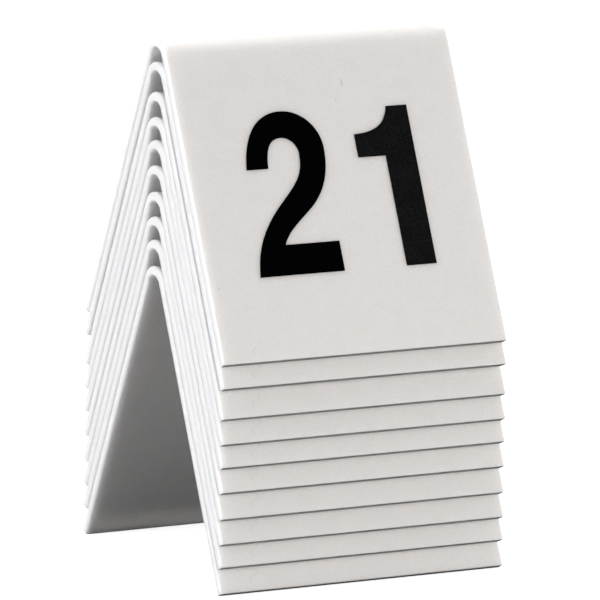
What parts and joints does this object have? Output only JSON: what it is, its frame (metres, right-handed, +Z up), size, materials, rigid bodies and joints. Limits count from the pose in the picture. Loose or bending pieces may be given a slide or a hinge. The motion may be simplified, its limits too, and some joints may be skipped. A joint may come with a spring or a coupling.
{
  "type": "table number tent set",
  "caption": "Nested stack of fold-over acrylic table number tents, each a sheet bent at its ridge with a two-figure number printed on both legs.",
  "frame": {"origin": "on the table, under the middle of the bottom tent, halfway between its feet and its two ends", "axes": "+X along the ridge, -Y towards the reader of the front numbers, +Z up"},
  "size_m": [0.05, 0.0498, 0.0841],
  "materials": {
    "white_acrylic": "opaque white cast acrylic, satin face, saw-cut edges polished",
    "black_print": "flat black ink film"
  },
  "bodies": {
    "tent_30": {"sheet_30": "white_acrylic", "front_number_30": "black_print", "back_number_30": "black_print"},
    "tent_29": {"sheet_29": "white_acrylic", "front_number_29": "black_print", "back_number_29": "black_print"},
    "tent_28": {"sheet_28": "white_acrylic", "front_number_28": "black_print", "back_number_28": "black_print"},
    "tent_27": {"sheet_27": "white_acrylic", "front_number_27": "black_print", "back_number_27": "black_print"},
    "tent_26": {"sheet_26": "white_acrylic", "front_number_26": "black_print", "back_number_26": "black_print"},
    "tent_25": {"sheet_25": "white_acrylic", "front_number_25": "black_print", "back_number_25": "black_print"},
    "tent_24": {"sheet_24": "white_acrylic", "front_number_24": "black_print", "back_number_24": "black_print"},
    "tent_23": {"sheet_23": "white_acrylic", "front_number_23": "black_print", "back_number_23": "black_print"},
    "tent_22": {"sheet_22": "white_acrylic", "front_number_22": "black_print", "back_number_22": "black_print"},
    "tent_21": {"sheet_21": "white_acrylic", "front_number_21": "black_print", "back_number_21": "black_print"}
  },
  "joints": [
    {"name": "lift_tent_29", "type": "slide", "parent": "tent_30", "child": "tent_29", "axis": [0, 0, 1], "range_m": [0, 0.045]},
    {"name": "lift_tent_28", "type": "slide", "parent": "tent_29", "child": "tent_28", "axis": [0, 0, 1], "range_m": [0, 0.045]},
    {"name": "lift_tent_27", "type": "slide", "parent": "tent_28", "child": "tent_27", "axis": [0, 0, 1], "range_m": [0, 0.045]},
    {"name": "lift_tent_26", "type": "slide", "parent": "tent_27", "child": "tent_26", "axis": [0, 0, 1], "range_m": [0, 0.045]},
    {"name": "lift_tent_25", "type": "slide", "parent": "tent_26", "child": "tent_25", "axis": [0, 0, 1], "range_m": [0, 0.045]},
    {"name": "lift_tent_24", "type": "slide", "parent": "tent_25", "child": "tent_24", "axis": [0, 0, 1], "range_m": [0, 0.045]},
    {"name": "lift_tent_23", "type": "slide", "parent": "tent_24", "child": "tent_23", "axis": [0, 0, 1], "range_m": [0, 0.045]},
    {"name": "lift_tent_22", "type": "slide", "parent": "tent_23", "child": "tent_22", "axis": [0, 0, 1], "range_m": [0, 0.045]},
    {"name": "lift_tent_21", "type": "slide", "parent": "tent_22", "child": "tent_21", "axis": [0, 0, 1], "range_m": [0, 0.045]}
  ]
}
